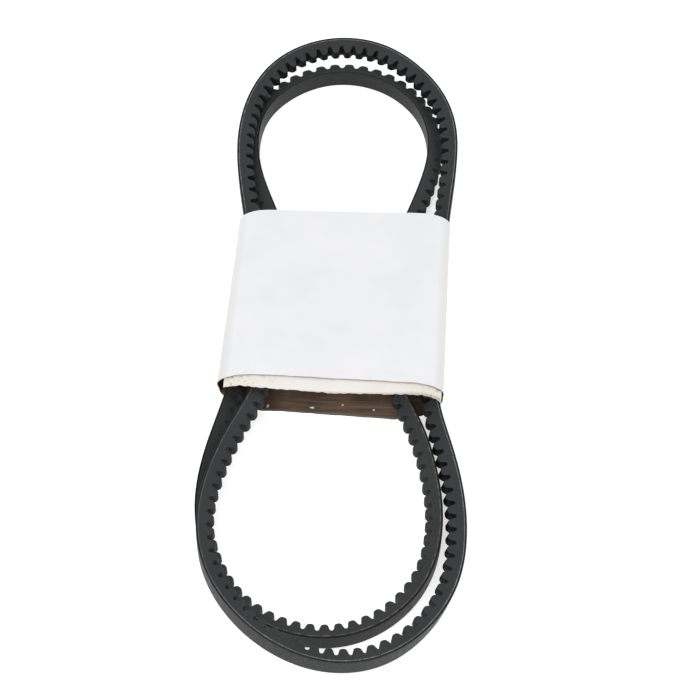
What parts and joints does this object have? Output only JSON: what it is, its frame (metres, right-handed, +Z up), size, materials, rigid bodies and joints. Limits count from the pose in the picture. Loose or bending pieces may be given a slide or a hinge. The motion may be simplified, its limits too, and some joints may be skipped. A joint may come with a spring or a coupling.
{
  "type": "cogged v-belt in a card sleeve",
  "caption": "Raw-edge cogged V-belt coiled in two long turns on its edge and held at the waist by a white-faced card sleeve.",
  "frame": {"origin": "centre of the bounding box on the surface that the coil lies on", "axes": "+Z up, away from the surface; +Y along the coil's length towards the end where the inner turn's cogs face outward; +X across the coil"},
  "size_m": [0.146, 0.4161, 0.0275],
  "materials": {
    "cover_fabric": "satin",
    "cord": "matte",
    "cushion": "matte",
    "rubber": "matte",
    "card": "matte",
    "flap_card": "matte",
    "glue": "matte"
  },
  "bodies": {
    "belt": {"back_cover": "cover_fabric", "tension_cords": "cord", "cushion_rubber": "cushion", "compression_rubber": "rubber"},
    "sleeve": {"sleeve_band": "card", "under_flap": "flap_card", "glue_strip": "glue"}
  },
  "joints": [
    {"name": "sleeve_slide", "type": "slide", "parent": "belt", "child": "sleeve", "axis": [0.0244, 0.9997, 0], "range_m": [-0.0015, 0.005]}
  ]
}
